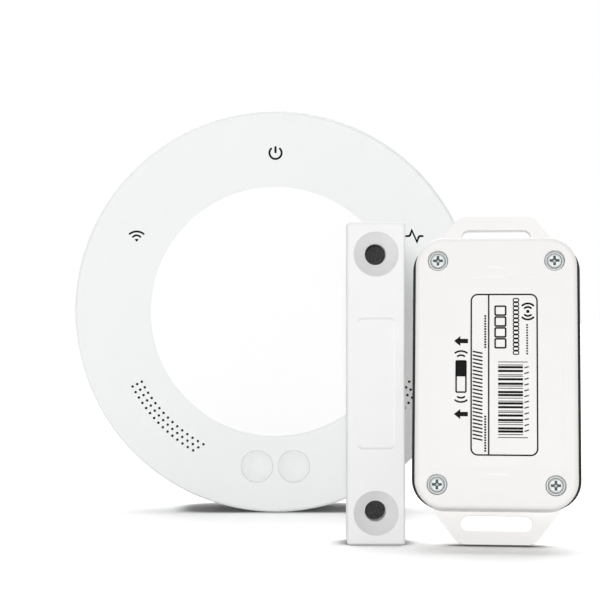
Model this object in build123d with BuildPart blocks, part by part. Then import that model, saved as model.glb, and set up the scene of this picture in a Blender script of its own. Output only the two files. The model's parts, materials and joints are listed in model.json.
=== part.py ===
from build123d import *
from math import atan, cos, degrees, hypot, radians, sin
import os

# A gate controller set, millimetres: a round wireless hub, a magnet bar and a gate sensor in a wall box.
# All three stand on the plane z = 0 with their fronts towards -Y. The origin is under the middle of the
# set's bounding box. Depths are counted from a unit's front face towards its back.

# Where the units stand, measured from the hub's axis and face
magnet_to_right = 26.9
sensor_to_right = 58.15
magnet_row_gap = 74.0
sensor_row_gap = 70.2
sensor_turn = 6.4
sensor_lean = 9.0

# General clearances and wall sizes
slide_gap = 0.15
seat_gap = 0.1
part_gap = 0.3
board_thickness = 1.6

# Screw heads: the cross is a share of the head's radius and height
cross_length = 1.25
cross_width = 0.34
cross_depth = 0.6
head_round = 0.5

# Hub casing
hub_radius = 60.0
hub_depth = 27.0
hub_wall = 2.0
face_thickness = 2.2
front_edge = 0.8
back_edge = 8.0
seam_depth = 9.0
seam_gap = 0.3
lip_height = 1.8

# Hub centre cap and the ledge that it snaps on
cap_hole_radius = 37.4
cap_gap = 0.02
cap_drop = 0.05
cap_thickness = 2.2
cap_edge = 0.05
ledge_width = 2.0
ledge_thickness = 1.4
collar_wall = 1.6
snap_wall = 1.1
snap_bead = 0.4

# Sound holes: two mirrored fans of three rows
sound_rows = 3
sound_columns = 15
sound_from_cap = 7.8
sound_row_step = 1.55
sound_pitch = 1.906
sound_start_angle = 207.7
sound_hole_radius = 0.4
cloth_margin = 1.2
cloth_thickness = 0.3

# Front buttons and the switches under them
button_spacing = 11.0
button_from_cap = 8.9
button_hole_radius = 4.8
button_flange_radius = 5.3
button_flange_thickness = 1.0
button_gap = 0.05
button_drop = 0.1
button_edge = 0.1
button_dish = 0.8
dish_fullness = 0.65
button_dimple_radius = 1.8
button_dimple_depth = 0.2
button_stem_radius = 1.6
button_travel = 0.5
switch_side = 6.0
switch_height = 3.5
plunger_radius = 1.7
plunger_length = 1.4
plunger_stand = 0.9

# Status windows and their light guides
window_from_cap = 9.9
window_angles = (28.5, 90.0, 151.5)
window_skin = 0.8
guide_radius = 3.2
guide_foot_radius = 2.2
sleeve_wall = 1.0
sleeve_depth = 8.0
led_size = (2.0, 1.25, 0.8)

# Hub board and the screws of the casing
board_rim = 0.2
board_depth = 13.0
case_screw_ring = 50.0
case_screw_angles = (60.0, 120.0, 195.0, 345.0)
case_joint_depth = 14.0
case_boss_radius = 2.8
case_column_radius = 3.4
case_screw_radius = 1.1
case_screw_length = 14.0
case_head_radius = 2.2
case_head_thickness = 1.6
case_head_sunk = 4.0
thread_gap = 0.05
board_screw_places = ((20.0, 34.0), (-20.0, 34.0), (38.0, -14.0), (-38.0, -14.0))
standoff_radius = 2.6
board_screw_radius = 0.8
board_screw_length = 6.0
board_head_radius = 1.6
board_head_thickness = 1.2

# Cable bay in the back, with its exit through the rim
bay_width = 38.0
bay_top = -9.5
bay_bottom = -46.0
bay_wall = 1.6
bay_floor = 1.2
bay_corner = 2.0
exit_width = 28.0
exit_depth = 6.0

# Keyholes for two wall screws
keyhole_spacing = 60.0
keyhole_row = 14.0
keyhole_head_radius = 4.0
keyhole_slot_radius = 2.1
keyhole_rise = 7.0
pocket_width = 10.0
pocket_depth = 5.0
pocket_wall = 1.5

# Vents in the back
vent_count = 7
vent_pitch = 4.0
vent_length = 16.0
vent_width = 1.6
vent_row = 24.0

# Terminal block and power socket, which stand in the cable bay
pole_count = 6
pole_pitch = 3.5
block_length = 7.5
block_height = 8.5
block_left = -16.5
block_slope = 1.5
pole_well_radius = 1.4
pole_well_depth = 3.2
wire_hole_radius = 1.2
wire_hole_depth = 5.0
wire_row = 3.4
terminal_screw_height = 2.0
terminal_slot_width = 0.5
socket_width = 9.0
socket_length = 12.5
socket_height = 10.6
socket_gap = 2.5
socket_axis_height = 6.0
socket_bore_radius = 3.0
socket_bore_depth = 10.0
socket_pin_radius = 1.0
socket_pin_sunk = 1.0

# What stands on the front of the hub board: width, height, thickness
relay_size = (10.0, 15.0, 9.8)
relay_edge = 0.6
relay_spacing = 14.0
relay_row = -14.0
module_edge = 0.4
wifi_size = (16.0, 24.0, 3.0)
wifi_place = (0.0, 20.0)
radio_size = (11.0, 15.0, 2.2)
radio_place = (-18.0, 14.0)
chip_edge = 0.3
processor_size = (9.0, 9.0, 1.0)
processor_place = (17.0, 10.0)
capacitor_radius = 3.15
capacitor_height = 8.0
can_edge = 0.5
capacitor_places = ((27.5, -9.0), (27.5, -1.5), (-27.5, -5.0))
sounder_radius = 7.5
sounder_height = 4.5
sounder_inset = 1.0
sounder_angle = 225.0
sounder_hole_radius = 1.2
aerial_from_screw = 5.3
aerial_length = 26.0
aerial_height = 3.0
aerial_wire_radius = 0.5

# Magnet bar
magnet_width = 15.0
magnet_height = 83.0
magnet_depth = 10.0
magnet_corner = 0.8
magnet_edge = 0.7
foam_thickness = 1.0
foam_inset = 0.4
mount_hole_inset = 8.2
mount_hole_radius = 2.75
mount_sink_radius = 5.8
mount_sink_angle = 64.0
magnet_recess_size = (9.6, 33.4, 0.4)
magnet_recess_corner = 1.5
bar_size = (8.0, 40.0, 5.0)
bar_gap = 0.1
bar_cover_step = 1.5
bar_cover_thickness = 1.5

# Gate sensor casing
lid_width = 40.7
lid_height = 68.8
lid_depth = 6.0
lid_corner = 7.3
lid_edge = 1.2
lid_top = 2.2
box_wall = 2.0
box_depth = 17.5
box_back_edge = 1.0
gasket_thickness = 1.0
gasket_side = 0.9
gasket_set_back = 0.3
lid_screw_inset = (5.65, 6.05)
lid_column_radius = 3.9
lid_sink_radius = 2.65
lid_sink_depth = 1.5
lid_head_radius = 2.0
lid_head_thickness = 1.4
lid_screw_radius = 1.4
lid_screw_length = 11.5

# Label recess in the lid and the two thumb marks beside it
label_recess_inset = (3.85, 10.35)
label_recess_depth = 0.25
label_margin = 0.25
label_thickness = 0.15
label_corner = 1.0
mark_width = 6.0
mark_height = 1.65
mark_gap = 1.45
mark_depth = 0.4

# Lugs at the sensor's two ends
lug_reach = 8.3
lug_root_width = 32.2
lug_end_width = 19.8
lug_corner = 4.0
lug_thickness = 3.0
strap_slot_length = 18.1
strap_slot_width = 3.85
strap_slot_from_end = 5.4

# Inside the sensor
sensor_board_gap = (1.25, 1.1)
sensor_board_back = 12.0
sensor_board_corner = 1.0
sensor_post_inset = 4.0
sensor_post_radius = 2.0
post_screw_radius = 0.8
post_head_radius = 1.5
post_head_thickness = 1.1
cell_radius = 12.25
cell_thickness = 5.0
cell_rim = 0.6
cell_foot = 0.4
cell_place = (1.5, 4.5)
holder_floor = 0.6
holder_wall = 0.95
holder_height = 4.2
clip_width = 6.0
clip_thickness = 0.3
reed_offset = -14.8
reed_length = 14.0
reed_radius = 1.1
reed_span = 22.0
reed_height = 1.6
lead_radius = 0.3
sensor_chip_size = (6.0, 6.0, 0.9)
sensor_chip_place = (4.0, -14.5)
sensor_aerial_inset = 2.5
sensor_aerial_length = 18.0

# The hub stands on its rim, and the set is centred over the origin
turn = radians(sensor_turn)
lean = radians(sensor_lean)
sensor_out = Vector(-sin(turn) * cos(lean), -cos(turn) * cos(lean), sin(lean))
sensor_right = Vector(cos(turn), -sin(turn), 0)
sensor_up = sensor_out.cross(sensor_right)
lug_front_depth = box_depth - lug_thickness


gasket_width = lid_width + 2 * gasket_side
gasket_height = lid_height - 2 * gasket_set_back


def reach(direction, depth, width, height, corner):
    """How far a rounded outline in the sensor reaches in a direction, from the lid's centre."""
    along = direction.dot(sensor_right)
    up = direction.dot(sensor_up)
    corners = abs(along) * (width / 2 - corner) + abs(up) * (height / 2 - corner)
    return corners + corner * hypot(along, up) - direction.dot(sensor_out) * depth


lid_from_lug = sensor_out * lug_front_depth
gasket_reach = reach(Vector(1, 0, 0), lid_depth, gasket_width, gasket_height, lid_corner)
face_reach = reach(
    Vector(0, -1, 0), lid_edge, lid_width - 2 * lid_edge, lid_height - 2 * lid_edge, lid_corner - lid_edge
)
right_reach = sensor_to_right + lid_from_lug.X + gasket_reach
front_reach = sensor_row_gap - lid_from_lug.Y + face_reach + lid_edge
hub_x = (hub_radius - right_reach) / 2
hub_y = (front_reach - hub_depth) / 2
sensor_x = hub_x + sensor_to_right + lid_from_lug.X
sensor_y = hub_y - sensor_row_gap + lid_from_lug.Y
sensor_z = (lid_height / 2 + lug_reach) * cos(lean) + box_depth * sin(lean)

HUB = Plane(origin=(hub_x, hub_y, hub_radius), x_dir=(1, 0, 0), z_dir=(0, -1, 0))
HUB_SECTION = Plane(origin=HUB.origin, x_dir=(1, 0, 0), z_dir=(0, 0, -1))
HUB_AXIS = Axis(HUB.origin, HUB.z_dir)
MAGNET = Plane(
    origin=(hub_x + magnet_to_right, hub_y - magnet_row_gap, magnet_height / 2),
    x_dir=(1, 0, 0),
    z_dir=(0, -1, 0),
)
SENSOR = Plane(origin=(sensor_x, sensor_y, sensor_z), x_dir=sensor_right, z_dir=sensor_out)
SENSOR_AXIS = Axis(SENSOR.origin, SENSOR.z_dir)


def behind(front, depth):
    """The plane that lies this deep behind a unit's front face."""
    return front.offset(-depth)


def polar(radius, angle):
    """A point on the hub's face, given by its radius and its angle from the right."""
    return (radius * cos(radians(angle)), radius * sin(radians(angle)))


def save(piece, name):
    """Name a finished piece and write it."""
    piece.part.label = name
    export_step(piece.part, f"parts/{name}.step")


def raised_block(base, place, size, edge):
    """A block with softened upright corners and top edges, standing on a board."""
    with BuildPart() as block:
        with BuildSketch(base):
            with Locations(place):
                RectangleRounded(size[0], size[1], edge)
        extrude(amount=size[2])
        chamfer(block.faces().sort_by(Axis(base.origin, base.z_dir))[-1].edges(), edge / 2)
    return block


def screws(seat, places, head, shank):
    """A group of pan-head screws with crossed slots; head and shank are (radius, length)."""
    with BuildPart() as group:
        with BuildSketch(seat):
            with Locations(*places):
                Circle(head[0])
        extrude(amount=head[1])
        head_tops = group.faces().sort_by(Axis(seat.origin, seat.z_dir))[-len(places):]
        fillet(head_tops.edges(), head[1] * head_round)
        with BuildSketch(seat):
            with Locations(*places):
                Circle(shank[0])
        extrude(amount=-shank[1])
        with BuildSketch(seat.offset(head[1])):
            with Locations(*places):
                Rectangle(head[0] * cross_length, head[0] * cross_width)
                Rectangle(head[0] * cross_width, head[0] * cross_length)
        extrude(amount=-head[1] * cross_depth, mode=Mode.SUBTRACT)
    return group


os.makedirs("parts", exist_ok=True)

# Places on the hub
sound_row_radius = cap_hole_radius + sound_from_cap
button_row = cap_hole_radius + button_from_cap
window_ring = cap_hole_radius + window_from_cap
board_radius = button_row + switch_side / 2 + board_rim
sounder_ring = board_radius - sounder_radius - sounder_inset
case_screw_places = [polar(case_screw_ring, angle) for angle in case_screw_angles]
window_places = [polar(window_ring, angle) for angle in window_angles]
button_places = {"left": (-button_spacing / 2, -button_row), "right": (button_spacing / 2, -button_row)}
left_sound_holes = []
for row in range(sound_rows):
    row_radius = sound_row_radius + row * sound_row_step
    row_pitch = degrees(sound_pitch / row_radius)
    for column in range(sound_columns):
        left_sound_holes.append(polar(row_radius, sound_start_angle + column * row_pitch))
right_sound_holes = [(-x, y) for x, y in left_sound_holes]

block_width = pole_count * pole_pitch
block_centre = (block_left + block_width / 2, bay_top - part_gap - block_length / 2)
socket_left = block_left + block_width + socket_gap
socket_centre = (socket_left + socket_width / 2, bay_top - part_gap - socket_length / 2)

# Depths in the hub
inner_radius = hub_radius - hub_wall
lip_radius = hub_radius - hub_wall / 2
ledge_radius = cap_hole_radius - ledge_width
ledge_depth = cap_drop + cap_thickness
collar_depth = ledge_depth + ledge_thickness
back_inside = hub_depth - hub_wall
board_back = board_depth + board_thickness
board_front = behind(HUB, board_depth)
bay_floor_front = board_back + part_gap
bay_floor_back = bay_floor_front + bay_floor
bay_height = bay_top - bay_bottom
bay_middle = (bay_top + bay_bottom) / 2
case_head_seat = hub_depth - case_head_sunk
sleeve_radius = guide_radius + slide_gap
keyhole_places = [(-keyhole_spacing / 2, keyhole_row), (keyhole_spacing / 2, keyhole_row)]
pocket_height = keyhole_rise + pocket_width

# Ring fascia: the hub's front, with its skirt, cap ledge, screw bosses and light sleeves
with BuildPart() as ring_fascia:
    with BuildSketch(HUB_SECTION):
        with BuildLine():
            Polyline(
                (hub_radius - front_edge, 0),
                (cap_hole_radius, 0),
                (cap_hole_radius, -ledge_depth),
                (ledge_radius, -ledge_depth),
                (ledge_radius, -collar_depth),
                (cap_hole_radius + collar_wall, -collar_depth),
                (cap_hole_radius + collar_wall, -face_thickness),
                (inner_radius, -face_thickness),
                (inner_radius, lip_height - seam_depth),
                (lip_radius, lip_height - seam_depth),
                (lip_radius, -seam_depth),
                (hub_radius, -seam_depth),
                (hub_radius, -front_edge),
            )
            CenterArc((hub_radius - front_edge, -front_edge), front_edge, 0, 90)
        make_face()
    revolve(axis=HUB_AXIS)
    with BuildSketch(behind(HUB, case_joint_depth)):
        with Locations(*case_screw_places):
            Circle(case_boss_radius)
    extrude(amount=case_joint_depth - face_thickness)
    with BuildSketch(behind(HUB, case_joint_depth)):
        with Locations(*case_screw_places):
            Circle(case_screw_radius + thread_gap)
    extrude(amount=case_joint_depth - case_head_seat + case_screw_length + part_gap, mode=Mode.SUBTRACT)
    with BuildSketch(behind(HUB, sleeve_depth)):
        with Locations(*window_places):
            Circle(sleeve_radius + sleeve_wall)
    extrude(amount=sleeve_depth - face_thickness)
    with BuildSketch(behind(HUB, sleeve_depth)):
        with Locations(*window_places):
            Circle(sleeve_radius)
    extrude(amount=sleeve_depth - window_skin, mode=Mode.SUBTRACT)
    with BuildSketch(HUB):
        with Locations(*button_places.values()):
            Circle(button_hole_radius)
        with Locations(*left_sound_holes, *right_sound_holes):
            Circle(sound_hole_radius)
    extrude(amount=-face_thickness, mode=Mode.SUBTRACT)

save(ring_fascia, "ring_fascia")

# Centre cap, with a ring underneath whose bead snaps behind the ledge
snap_radius = ledge_radius - slide_gap
bead_top = collar_depth + seat_gap
bead_end = bead_top + 2 * snap_bead
with BuildPart() as centre_cap:
    with BuildSketch(HUB_SECTION):
        with BuildLine():
            Polyline(
                (0, -cap_drop),
                (cap_hole_radius - cap_gap, -cap_drop),
                (cap_hole_radius - cap_gap, -ledge_depth),
                (snap_radius, -ledge_depth),
                (snap_radius, -bead_top),
                (snap_radius + snap_bead, -bead_top - snap_bead),
                (snap_radius, -bead_end),
                (snap_radius - snap_wall, -bead_end),
                (snap_radius - snap_wall, -ledge_depth),
                (0, -ledge_depth),
                close=True,
            )
        make_face()
    revolve(axis=HUB_AXIS)
    fillet(centre_cap.faces().sort_by(HUB_AXIS)[-1].edges(), cap_edge)

save(centre_cap, "centre_cap")

# The room inside the rear housing; what is cut out of it stays standing as wall, column and pocket
with BuildPart() as rear_room:
    with BuildSketch(HUB_SECTION):
        with BuildLine():
            Polyline(
                (hub_radius - back_edge, -back_inside),
                (0, -back_inside),
                (0, 0),
                (inner_radius, 0),
                (inner_radius, back_edge - hub_depth),
            )
            CenterArc(
                (hub_radius - back_edge, back_edge - hub_depth), back_edge - hub_wall, 0, -90
            )
        make_face()
    revolve(axis=HUB_AXIS)
    with BuildSketch(behind(HUB, hub_depth)):
        with Locations(*case_screw_places):
            Circle(case_column_radius)
    extrude(amount=hub_depth - case_joint_depth, mode=Mode.SUBTRACT)
    with BuildSketch(behind(HUB, hub_depth)):
        with Locations(*board_screw_places):
            Circle(standoff_radius)
    extrude(amount=hub_depth - board_back, mode=Mode.SUBTRACT)
    with BuildSketch(behind(HUB, hub_depth)):
        with Locations((0, bay_middle)):
            RectangleRounded(bay_width + 2 * bay_wall, bay_height + 2 * bay_wall, bay_corner + bay_wall)
    extrude(amount=hub_depth - bay_floor_front, mode=Mode.SUBTRACT)
    with BuildSketch(behind(HUB, hub_depth)):
        with Locations((0, bay_bottom - hub_radius / 2)):
            Rectangle(exit_width + 2 * bay_wall, hub_radius)
    extrude(amount=exit_depth + bay_wall, mode=Mode.SUBTRACT)
    with BuildSketch(behind(HUB, hub_depth)):
        for x, y in keyhole_places:
            with Locations((x, y + keyhole_rise / 2)):
                Rectangle(pocket_width + 2 * pocket_wall, pocket_height + 2 * pocket_wall)
    extrude(amount=hub_wall + pocket_depth + pocket_wall, mode=Mode.SUBTRACT)

# Rear housing: one moulding, with the cable bay, exit, keyholes and vents in its back
with BuildPart() as rear_housing:
    with BuildSketch(HUB_SECTION):
        with BuildLine():
            Polyline(
                (hub_radius, back_edge - hub_depth),
                (hub_radius, -seam_depth - seam_gap),
                (lip_radius - seat_gap, -seam_depth - seam_gap),
                (lip_radius - seat_gap, lip_height - seam_depth - seat_gap),
                (0, lip_height - seam_depth - seat_gap),
                (0, -hub_depth),
                (hub_radius - back_edge, -hub_depth),
            )
            CenterArc((hub_radius - back_edge, back_edge - hub_depth), back_edge, -90, 90)
        make_face()
    revolve(axis=HUB_AXIS)
    add(rear_room.part, mode=Mode.SUBTRACT)
    with BuildSketch(behind(HUB, hub_depth)):
        with Locations((0, bay_middle)):
            RectangleRounded(bay_width, bay_height, bay_corner)
    extrude(amount=hub_depth - bay_floor_back, mode=Mode.SUBTRACT)
    with BuildSketch(behind(HUB, hub_depth)):
        with Locations((0, bay_bottom + bay_corner - hub_radius / 2)):
            Rectangle(exit_width, hub_radius)
    extrude(amount=exit_depth, mode=Mode.SUBTRACT)
    with BuildSketch(behind(HUB, hub_depth)):
        for x, y in keyhole_places:
            with Locations((x, y)):
                Circle(keyhole_head_radius)
            with Locations((x, y + keyhole_rise / 2)):
                Rectangle(2 * keyhole_slot_radius, keyhole_rise)
            with Locations((x, y + keyhole_rise)):
                Circle(keyhole_slot_radius)
        with Locations((0, vent_row)):
            with GridLocations(vent_pitch, 0, vent_count, 1):
                SlotOverall(vent_length, vent_width, rotation=90)
    extrude(amount=hub_wall, mode=Mode.SUBTRACT)
    with BuildSketch(behind(HUB, back_inside)):
        for x, y in keyhole_places:
            with Locations((x, y + keyhole_rise / 2)):
                Rectangle(pocket_width, pocket_height)
    extrude(amount=pocket_depth, mode=Mode.SUBTRACT)
    with BuildSketch(behind(HUB, hub_depth)):
        with Locations(*case_screw_places):
            Circle(case_head_radius + part_gap)
    extrude(amount=case_head_sunk, mode=Mode.SUBTRACT)
    with BuildSketch(behind(HUB, case_head_seat)):
        with Locations(*case_screw_places):
            Circle(case_screw_radius + slide_gap)
    extrude(amount=case_head_seat - case_joint_depth, mode=Mode.SUBTRACT)
    with BuildSketch(behind(HUB, board_back)):
        with Locations(*board_screw_places):
            Circle(board_screw_radius + thread_gap)
    extrude(amount=-board_screw_length, mode=Mode.SUBTRACT)
    with BuildSketch(behind(HUB, bay_floor_back)):
        with Locations(block_centre):
            Rectangle(block_width + 2 * part_gap, block_length + 2 * part_gap)
        with Locations(socket_centre):
            Rectangle(socket_width + 2 * part_gap, socket_length + 2 * part_gap)
    extrude(amount=bay_floor, mode=Mode.SUBTRACT)

save(rear_housing, "rear_housing")

# Case screws, driven from the back through the columns into the fascia's bosses
rear_seat = Plane(origin=behind(HUB, case_head_seat).origin, x_dir=(1, 0, 0), z_dir=(0, 1, 0))
case_screws = screws(
    rear_seat,
    [(x, -y) for x, y in case_screw_places],
    (case_head_radius, case_head_thickness),
    (case_screw_radius, case_screw_length),
)
save(case_screws, "case_screws")

# Hub board: a disc notched round the screw columns
with BuildPart() as main_board:
    with BuildSketch(board_front):
        Circle(board_radius)
        with Locations(*case_screw_places):
            Circle(case_column_radius + part_gap, mode=Mode.SUBTRACT)
        with Locations(*board_screw_places):
            Circle(board_screw_radius + slide_gap, mode=Mode.SUBTRACT)
    extrude(amount=-board_thickness)

save(main_board, "main_board")

board_screws = screws(
    board_front,
    board_screw_places,
    (board_head_radius, board_head_thickness),
    (board_screw_radius, board_thickness + board_screw_length - part_gap),
)
save(board_screws, "board_screws")

# Relays, modules and chips on the front of the board
for number, name in enumerate(("left_relay", "middle_relay", "right_relay")):
    relay = raised_block(board_front, ((number - 1) * relay_spacing, relay_row), relay_size, relay_edge)
    save(relay, name)
save(raised_block(board_front, wifi_place, wifi_size, module_edge), "wifi_module")
save(raised_block(board_front, radio_place, radio_size, module_edge), "radio_module")
save(raised_block(board_front, processor_place, processor_size, chip_edge), "processor_chip")

with BuildPart() as capacitors:
    with BuildSketch(board_front):
        with Locations(*capacitor_places):
            Circle(capacitor_radius)
    extrude(amount=capacitor_height)
    chamfer(capacitors.faces().sort_by(HUB_AXIS)[-len(capacitor_places):].edges(), can_edge)

save(capacitors, "capacitors")

with BuildPart() as sounder:
    with BuildSketch(board_front):
        with Locations(polar(sounder_ring, sounder_angle)):
            Circle(sounder_radius)
    extrude(amount=sounder_height)
    chamfer(sounder.faces().sort_by(HUB_AXIS)[-1].edges(), can_edge)
    with BuildSketch(behind(HUB, board_depth - sounder_height)):
        with Locations(polar(sounder_ring, sounder_angle)):
            Circle(sounder_hole_radius)
    extrude(amount=-sounder_height / 2, mode=Mode.SUBTRACT)

save(sounder, "sounder")


def wire_bridge(origin, along, up, length, height, radius):
    """A bent wire that rises from a board, runs along it and comes back down."""
    side = Plane(origin=origin, x_dir=along, z_dir=along.cross(up))
    with BuildPart() as wire:
        with BuildLine(side) as route:
            FilletPolyline((0, 0), (0, height), (length, height), (length, 0), radius=4 * radius)
        with BuildSketch(Plane(origin=route.line @ 0, z_dir=route.line % 0)):
            Circle(radius)
        sweep()
    return wire


aerial_screw = case_screw_places[1]
radio_aerial = wire_bridge(
    board_front.from_local_coords((aerial_screw[0], aerial_screw[1] - aerial_from_screw, 0)),
    HUB.x_dir,
    HUB.z_dir,
    aerial_length,
    aerial_height,
    aerial_wire_radius,
)
save(radio_aerial, "radio_aerial")

# Light guides in the fascia's sleeves, and the lamps under them
guide_foot = board_depth - led_size[2] - slide_gap
guide_taper = degrees(atan((guide_radius - guide_foot_radius) / (guide_foot - sleeve_depth)))
with BuildPart() as light_guides:
    with BuildSketch(behind(HUB, sleeve_depth)):
        with Locations(*window_places):
            Circle(guide_radius)
    extrude(amount=sleeve_depth - window_skin - seat_gap)
    with BuildSketch(behind(HUB, sleeve_depth)):
        with Locations(*window_places):
            Circle(guide_radius)
    extrude(amount=sleeve_depth - guide_foot, taper=guide_taper)

save(light_guides, "light_guides")

with BuildPart() as status_lamps:
    with BuildSketch(board_front):
        with Locations(*window_places):
            Rectangle(led_size[0], led_size[1])
    extrude(amount=led_size[2])

save(status_lamps, "status_lamps")

# Buttons: each cap is held by its flange under the fascia, and its stem stands on the switch's plunger
stem_end = board_depth - switch_height - plunger_stand
flange_top = face_thickness + seat_gap
dish_floor = button_drop + button_dish
cap_radius = button_hole_radius - button_gap
dish_middle = (cap_radius - button_edge + button_dimple_radius) / 2
for side, place in button_places.items():
    centre = HUB.from_local_coords((place[0], place[1], 0))
    button_axis = Axis(centre, HUB.z_dir)
    with BuildPart() as button_cap:
        with BuildSketch(Plane(origin=centre, x_dir=HUB_SECTION.x_dir, z_dir=HUB_SECTION.z_dir)):
            with BuildLine():
                Polyline(
                    (button_dimple_radius, -dish_floor),
                    (button_dimple_radius, -dish_floor - button_dimple_depth),
                    (0, -dish_floor - button_dimple_depth),
                    (0, -stem_end),
                    (button_stem_radius, -stem_end),
                    (button_stem_radius, -flange_top - button_flange_thickness),
                    (button_flange_radius, -flange_top - button_flange_thickness),
                    (button_flange_radius, -flange_top),
                    (cap_radius, -flange_top),
                    (cap_radius, -button_drop - button_edge),
                )
                CenterArc((cap_radius - button_edge, -button_drop - button_edge), button_edge, 0, 90)
                ThreePointArc(
                    (cap_radius - button_edge, -button_drop),
                    (dish_middle, -button_drop - dish_fullness * button_dish),
                    (button_dimple_radius, -dish_floor),
                )
            make_face()
        revolve(axis=button_axis)
    save(button_cap, f"{side}_button_cap")
    with BuildPart() as plunger:
        with BuildSketch(behind(HUB, stem_end)):
            with Locations(place):
                Circle(plunger_radius)
        extrude(amount=-plunger_length)
    save(plunger, f"{side}_plunger")
    with BuildPart() as switch:
        with BuildSketch(board_front):
            with Locations(place):
                Rectangle(switch_side, switch_side)
        extrude(amount=switch_height)
        with BuildSketch(behind(HUB, board_depth - switch_height)):
            with Locations(place):
                Circle(plunger_radius + thread_gap)
        extrude(amount=plunger_stand - plunger_length - button_travel - part_gap, mode=Mode.SUBTRACT)
    save(switch, f"{side}_switch")

# Grille cloths behind the two fans of sound holes
cloth_inner = sound_row_radius - cloth_margin
cloth_outer = sound_row_radius + (sound_rows - 1) * sound_row_step + cloth_margin
cloth_overlap = degrees(cloth_margin / sound_row_radius)
cloth_start = sound_start_angle - cloth_overlap
cloth_sweep = (sound_columns - 1) * degrees(sound_pitch / sound_row_radius) + 2 * cloth_overlap
for side, first in (("left", cloth_start), ("right", 180 - cloth_start - cloth_sweep)):
    with BuildPart() as cloth:
        with BuildSketch(behind(HUB, face_thickness)):
            with BuildLine():
                outer_arc = CenterArc((0, 0), cloth_outer, first, cloth_sweep)
                inner_arc = CenterArc((0, 0), cloth_inner, first, cloth_sweep)
                Line(outer_arc @ 0, inner_arc @ 0)
                Line(outer_arc @ 1, inner_arc @ 1)
            make_face()
        extrude(amount=-cloth_thickness)
    save(cloth, f"{side}_grille_cloth")

# Terminal block on the back of the board: screws face the back, wire entries face the bay
block_back = board_back + block_height
block_foot = block_centre[1] - block_length / 2
with BuildPart() as terminal_block:
    with BuildSketch(behind(HUB, board_back)):
        with Locations(block_centre):
            Rectangle(block_width, block_length)
    extrude(amount=-block_height)
    back_face = terminal_block.faces().sort_by(HUB_AXIS)[0]
    chamfer(back_face.edges().sort_by(Axis.Z)[0], block_slope)
    with BuildSketch(behind(HUB, block_back)):
        with Locations((block_centre[0], block_centre[1] + block_slope / 2)):
            with GridLocations(pole_pitch, 0, pole_count, 1):
                Circle(pole_well_radius)
    extrude(amount=pole_well_depth, mode=Mode.SUBTRACT)
    entry = HUB.from_local_coords((block_centre[0], block_foot, -board_back - wire_row))
    with BuildSketch(Plane(origin=entry, x_dir=(1, 0, 0), z_dir=(0, 0, -1))):
        with GridLocations(pole_pitch, 0, pole_count, 1):
            Circle(wire_hole_radius)
    extrude(amount=-wire_hole_depth, mode=Mode.SUBTRACT)

save(terminal_block, "terminal_block")

with BuildPart() as terminal_screws:
    with BuildSketch(behind(HUB, block_back - pole_well_depth)):
        with Locations((block_centre[0], block_centre[1] + block_slope / 2)):
            with GridLocations(pole_pitch, 0, pole_count, 1):
                Circle(pole_well_radius - thread_gap)
    extrude(amount=-terminal_screw_height)
    with BuildSketch(behind(HUB, block_back - pole_well_depth + terminal_screw_height)):
        with Locations((block_centre[0], block_centre[1] + block_slope / 2)):
            with GridLocations(pole_pitch, 0, pole_count, 1):
                Rectangle(2 * pole_well_radius, terminal_slot_width)
    extrude(amount=terminal_screw_height / 2, mode=Mode.SUBTRACT)

save(terminal_screws, "terminal_screws")

# Power socket beside the block, with its mouth towards the exit
with BuildPart() as power_socket:
    with BuildSketch(behind(HUB, board_back)):
        with Locations(socket_centre):
            Rectangle(socket_width, socket_length)
    extrude(amount=-socket_height)
    mouth = HUB.from_local_coords(
        (socket_centre[0], socket_centre[1] - socket_length / 2, -board_back - socket_axis_height)
    )
    with BuildSketch(Plane(origin=mouth, x_dir=(1, 0, 0), z_dir=(0, 0, -1))):
        Circle(socket_bore_radius)
        Circle(socket_pin_radius, mode=Mode.SUBTRACT)
    extrude(amount=-socket_bore_depth, mode=Mode.SUBTRACT)
    with BuildSketch(Plane(origin=mouth, x_dir=(1, 0, 0), z_dir=(0, 0, -1))):
        Circle(socket_pin_radius)
    extrude(amount=-socket_pin_sunk, mode=Mode.SUBTRACT)

save(power_socket, "power_socket")

# Magnet bar: a housing with two countersunk holes and a pocket for the magnet, closed at the back
mount_hole_row = magnet_height / 2 - mount_hole_inset
mount_holes = ((0, mount_hole_row), (0, -mount_hole_row))
bar_back = magnet_depth - bar_cover_thickness
bar_front = bar_back - bar_size[2] - bar_gap
with BuildPart() as magnet_housing:
    with BuildSketch(behind(MAGNET, magnet_depth)):
        RectangleRounded(magnet_width, magnet_height, magnet_corner)
    extrude(amount=magnet_depth)
    fillet(magnet_housing.faces().sort_by(Axis.Y)[0].edges(), magnet_edge)
    with BuildSketch(MAGNET):
        RectangleRounded(magnet_recess_size[0], magnet_recess_size[1], magnet_recess_corner)
    extrude(amount=-magnet_recess_size[2], mode=Mode.SUBTRACT)
    with Locations(MAGNET):
        with Locations(*mount_holes):
            CounterSinkHole(mount_hole_radius, mount_sink_radius, counter_sink_angle=mount_sink_angle)
    with BuildSketch(behind(MAGNET, magnet_depth)):
        Rectangle(bar_size[0] + 2 * bar_gap, bar_size[1] + 2 * bar_gap)
    extrude(amount=magnet_depth - bar_front, mode=Mode.SUBTRACT)
    with BuildSketch(behind(MAGNET, magnet_depth)):
        Rectangle(bar_size[0] + 2 * bar_cover_step, bar_size[1] + 2 * bar_cover_step)
    extrude(amount=bar_cover_thickness, mode=Mode.SUBTRACT)

save(magnet_housing, "magnet_housing")

with BuildPart() as bar_magnet:
    with BuildSketch(behind(MAGNET, bar_back)):
        Rectangle(bar_size[0], bar_size[1])
    extrude(amount=bar_size[2])

save(bar_magnet, "bar_magnet")

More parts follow.
